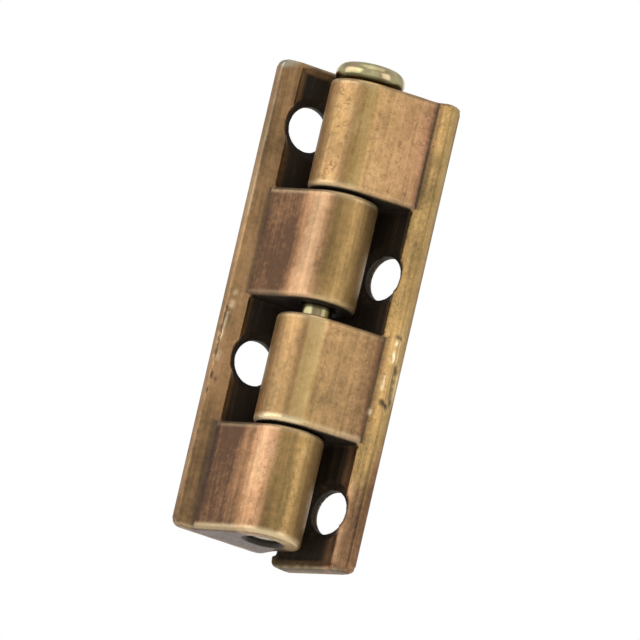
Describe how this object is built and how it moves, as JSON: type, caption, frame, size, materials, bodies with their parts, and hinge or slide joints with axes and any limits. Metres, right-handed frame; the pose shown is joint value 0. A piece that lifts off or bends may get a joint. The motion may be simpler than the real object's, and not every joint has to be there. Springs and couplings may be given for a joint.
{
  "type": "lift-off cabinet hinge",
  "caption": "Cast cabinet hinge: matching recessed leaves with interleaved knuckles on a loose headed pin, which draws out upwards to let the door come off.",
  "frame": {"origin": "midway between the frame leaf's two screw holes, in the plane of that leaf's mounting face", "axes": "+Z along the pin towards its head, +Y out of the back of the frame leaf into the cabinet frame, +X from the frame leaf's outer edge towards the pin"},
  "size_m": [0.0193, 0.0142, 0.0627],
  "materials": {
    "frame_leaf_bronze": "antique bronze plating on a zinc alloy casting, brushed along the pin, worn to yellow at its edges",
    "door_leaf_bronze": "antique bronze plating on a zinc alloy casting, lighter and finely pitted",
    "pin_metal": "bright yellow plating on a turned steel pin"
  },
  "bodies": {
    "frame": {"frame_leaf": "frame_leaf_bronze"},
    "door": {"door_leaf": "door_leaf_bronze"},
    "pin": {"hinge_pin": "pin_metal"}
  },
  "joints": [
    {"name": "door_swing", "type": "hinge", "parent": "frame", "child": "door", "pos_m": [0.0034, -0.0075, 0], "axis": [0, 0, 1], "range_deg": [-173, 10.5]},
    {"name": "pin_draw", "type": "slide", "parent": "frame", "child": "pin", "axis": [0, 0, 1], "range_m": [0, 0.06]}
  ]
}
